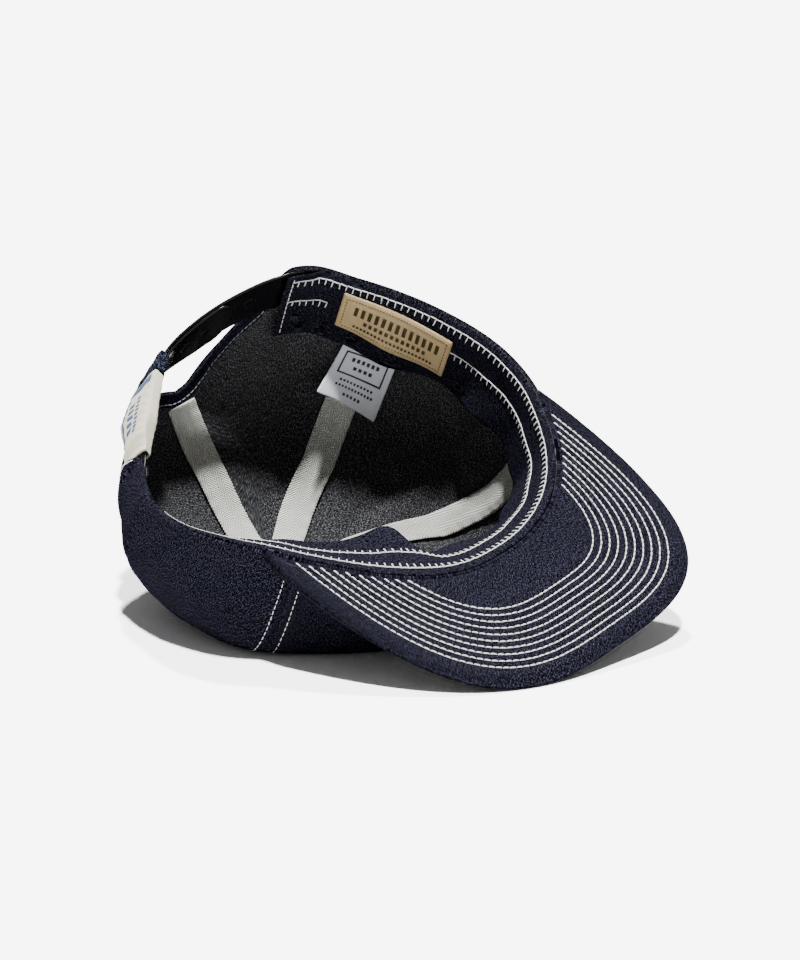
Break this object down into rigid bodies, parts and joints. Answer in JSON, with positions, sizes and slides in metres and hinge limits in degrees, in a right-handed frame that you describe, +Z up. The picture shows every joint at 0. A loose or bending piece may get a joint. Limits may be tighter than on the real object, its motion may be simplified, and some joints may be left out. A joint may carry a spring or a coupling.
{
  "type": "trucker cap",
  "caption": "Five-panel denim cap with a flat visor and a snap strap, lying upside down on its crown.",
  "frame": {"origin": "middle of the underside of the bounding box, on the floor the cap rests on", "axes": "+Z up, the visor toward -Y, the wearer's right side toward +X; the cap lies on its crown"},
  "size_m": [0.1928, 0.2398, 0.1305],
  "materials": {
    "denim": "dark indigo twill",
    "tape": "off-white herringbone cotton",
    "satin": "gold satin",
    "tag": "white satin",
    "strap": "glossy black",
    "print": "cream cotton, printed"
  },
  "bodies": {
    "root": {"crown_front_panel": "denim", "crown_side_panel_right": "denim", "crown_side_panel_left": "denim", "crown_back_panel_right": "denim", "crown_back_panel_left": "denim", "top_button": "denim", "visor_under_cover": "denim", "visor_top_cover": "denim", "sweatband": "denim", "seam_tape_front_right": "tape", "seam_tape_side_right": "tape", "seam_tape_back": "tape", "seam_tape_side_left": "tape", "seam_tape_front_left": "tape", "strap_outer": "strap", "strap_inner": "strap", "strap_keeper": "denim", "strap_label": "print", "woven_label": "satin", "care_tag": "tag"}
  },
  "joints": []
}
